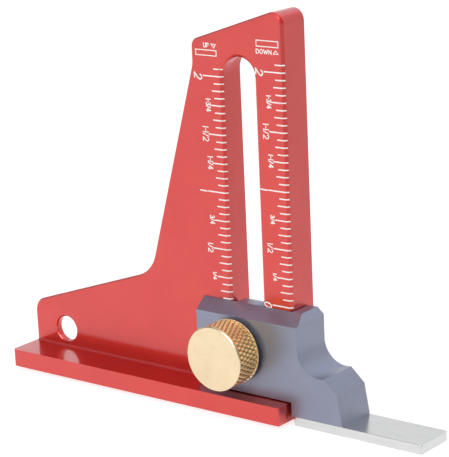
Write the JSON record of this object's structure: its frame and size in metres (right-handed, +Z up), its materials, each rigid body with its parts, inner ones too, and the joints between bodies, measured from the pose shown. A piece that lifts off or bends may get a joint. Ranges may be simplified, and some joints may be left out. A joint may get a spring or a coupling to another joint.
{
  "type": "woodworking height gauge",
  "caption": "Height gauge for setting router bits and saw blades: slotted upright on a long foot, with a slider that a knurled knob clamps and a strip that touches the blade.",
  "frame": {"origin": "centre of the foot's underside", "axes": "+X along the foot towards the strip, +Y away from the knob, +Z up along the slot"},
  "size_m": [0.1109, 0.0206, 0.0879],
  "materials": {
    "red_anodised": "satin red anodised",
    "grey_anodised": "satin blue-grey anodised",
    "strip_steel": "fine ground steel",
    "screw_steel": "black oxide",
    "washer_steel": "zinc plated",
    "knob_brass": "turned and knurled brass",
    "stud_steel": "zinc plated",
    "plate_steel": "black oxide"
  },
  "bodies": {
    "gauge": {"gauge_body": "red_anodised"},
    "slider": {"slider_block": "grey_anodised", "contact_strip": "strip_steel", "strip_screw_inner": "screw_steel", "strip_screw_outer": "screw_steel", "knob_washer": "washer_steel"},
    "knob": {"thumb_knob": "knob_brass", "clamp_stud": "stud_steel"},
    "clamp": {"clamp_plate": "plate_steel"}
  },
  "joints": [
    {"name": "height_slide", "type": "slide", "parent": "gauge", "child": "slider", "axis": [0, 0, 1], "range_m": [0, 0.0517]},
    {"name": "knob_turn", "type": "hinge", "parent": "slider", "child": "knob", "pos_m": [0.02505, 0, 0.0139], "axis": [0, -1, 0], "range_deg": [0, 360]},
    {"name": "clamp_slide", "type": "slide", "parent": "slider", "child": "clamp", "axis": [0, 1, 0], "range_m": [0, 0.0008]}
  ],
  "couplings": [
    {"joint": "clamp_slide", "follows": "knob_turn", "m_per_rad": 0.00012732}
  ]
}
